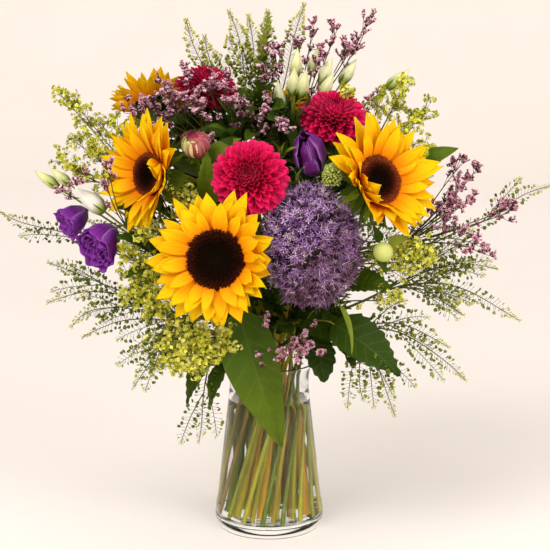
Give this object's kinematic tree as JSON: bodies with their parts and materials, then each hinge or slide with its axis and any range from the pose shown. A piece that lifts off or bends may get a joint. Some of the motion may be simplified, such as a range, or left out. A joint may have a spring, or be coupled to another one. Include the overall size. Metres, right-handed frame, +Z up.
{
  "type": "sunflowers in a vase",
  "caption": "Mixed bouquet of sunflowers, dahlias, lisianthus and field flowers on spiralling stems in a clear tapered glass vase of water.",
  "frame": {"origin": "centre of the vase's flat foot, on the table", "axes": "+Z up the vase's axis, -Y towards the side from which the bouquet is seen, +X to that viewer's right"},
  "size_m": [0.6399, 0.4039, 0.6143],
  "materials": {
    "glass": "clear, smooth, faintly green at the thick foot",
    "water": "clear water",
    "stem": "green, slightly ribbed plant stem",
    "sunflower_petal": "golden yellow, thin, finely veined",
    "sunflower_disc": "near-black maroon florets",
    "dahlia_petal": "magenta crimson, velvety",
    "dahlia_bud": "yellow-green, smooth",
    "throatwort": "lilac-purple mass of tiny florets",
    "lisianthus_petal": "deep violet, satin",
    "pennycress": "dry green seed pods",
    "statice": "papery pink florets on thin brown stems",
    "ladys_mantle": "yellow-green froth of tiny flowers"
  },
  "bodies": {
    "root": {"dahlia_back_bloom": "dahlia_petal", "dahlia_back_stem": "stem", "dahlia_bud_green": "dahlia_bud", "dahlia_bud_half_open": "dahlia_bud", "dahlia_centre_bloom": "dahlia_petal", "dahlia_centre_stem": "stem", "dahlia_right_bloom": "dahlia_petal", "dahlia_right_stem": "stem", "dahlia_top_bloom": "dahlia_petal", "dahlia_top_stem": "stem", "ladys_mantle_back": "ladys_mantle", "ladys_mantle_left": "ladys_mantle", "ladys_mantle_low_left": "ladys_mantle", "ladys_mantle_right": "ladys_mantle", "lisianthus_buds_stem": "stem", "lisianthus_centre_bloom_upright": "lisianthus_petal", "lisianthus_centre_stem": "stem", "lisianthus_left_bloom_high": "lisianthus_petal", "lisianthus_left_bloom_low": "lisianthus_petal", "lisianthus_left_stem": "stem", "pennycress_back_left": "pennycress", "pennycress_back_right": "pennycress", "pennycress_down_left": "pennycress", "pennycress_left": "pennycress", "pennycress_left_high": "pennycress", "pennycress_left_low": "pennycress", "pennycress_right": "pennycress", "pennycress_right_high": "pennycress", "pennycress_right_low": "pennycress", "pennycress_top": "pennycress", "pennycress_top_left": "pennycress", "statice_back": "statice", "statice_front": "statice", "statice_right": "statice", "statice_top": "statice", "statice_top_left": "statice", "sunflower_back_disc": "sunflower_disc", "sunflower_back_petals": "sunflower_petal", "sunflower_back_stem": "stem", "sunflower_front_disc": "sunflower_disc", "sunflower_front_petals": "sunflower_petal", "sunflower_front_stem": "stem", "sunflower_left_disc": "sunflower_disc", "sunflower_left_petals": "sunflower_petal", "sunflower_left_stem": "stem", "sunflower_right_disc": "sunflower_disc", "sunflower_right_petals": "sunflower_petal", "sunflower_right_stem": "stem", "sunflower_top_disc": "sunflower_disc", "sunflower_top_petals": "sunflower_petal", "sunflower_top_stem": "stem", "throatwort_head": "throatwort", "throatwort_stem": "stem", "vase": "glass", "water": "water"}
  },
  "joints": []
}
